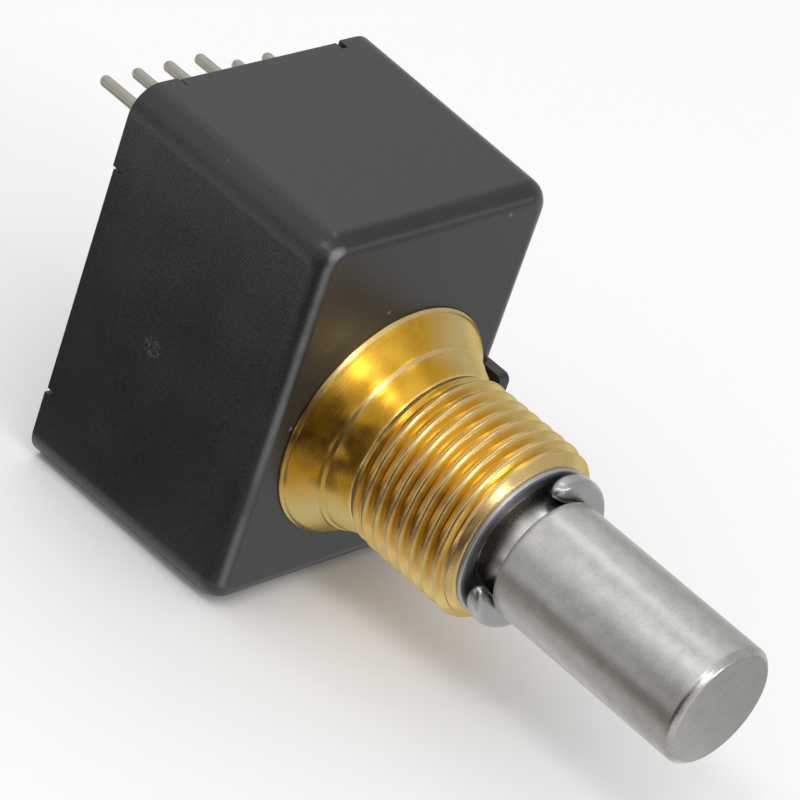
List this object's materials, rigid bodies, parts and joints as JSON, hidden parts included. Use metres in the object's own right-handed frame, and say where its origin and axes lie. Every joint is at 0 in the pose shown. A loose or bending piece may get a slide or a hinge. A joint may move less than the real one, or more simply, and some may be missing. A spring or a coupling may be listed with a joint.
{
  "type": "magnetic rotary encoder",
  "caption": "Panel-mount magnetic rotary encoder with a black moulded housing, threaded brass bushing, plain steel shaft on a retaining ring and a row of pins behind.",
  "frame": {"origin": "on the shaft axis, in the plane of the housing's front face, which meets the panel", "axes": "+Y points back into the equipment along the shaft axis, so the shaft points along -Y; +Z is the housing's top, beside which the terminal row stands; +X is the side that carries the locating lug"},
  "size_m": [0.0156, 0.0396, 0.0209],
  "materials": {
    "housing_plastic": "satin moulded black",
    "bushing_brass": "bright turned",
    "shaft_steel": "satin, ground",
    "ring_steel": "polished",
    "washer_steel": "satin",
    "seal_rubber": "matt",
    "holder_steel": "satin",
    "magnet_alloy": "nickel plated",
    "board_laminate": "green solder mask",
    "chip_plastic": "matt black, tinned leads",
    "capacitor_ceramic": "ceramic with tinned ends",
    "header_plastic": "matt black",
    "solder": "bright tin",
    "terminal_tin": "dull tin"
  },
  "bodies": {
    "stator": {"housing": "housing_plastic", "rear_cover": "housing_plastic", "bushing": "bushing_brass", "front_washer": "washer_steel", "inner_washer": "washer_steel", "shaft_seal": "seal_rubber", "circuit_board": "board_laminate", "sensor_chip": "chip_plastic", "supply_capacitor": "capacitor_ceramic", "regulator_capacitor": "capacitor_ceramic", "terminal_header": "header_plastic", "solder_fillets": "solder", "terminal_1": "terminal_tin", "terminal_2": "terminal_tin", "terminal_3": "terminal_tin", "terminal_4": "terminal_tin", "terminal_5": "terminal_tin", "terminal_6": "terminal_tin"},
    "rotor": {"shaft": "shaft_steel", "retaining_ring": "ring_steel", "magnet_holder": "holder_steel", "magnet": "magnet_alloy"}
  },
  "joints": [
    {"name": "shaft_spin", "type": "hinge", "parent": "stator", "child": "rotor", "pos_m": [0, 0, 0], "axis": [0, -1, 0], "continuous": true}
  ]
}
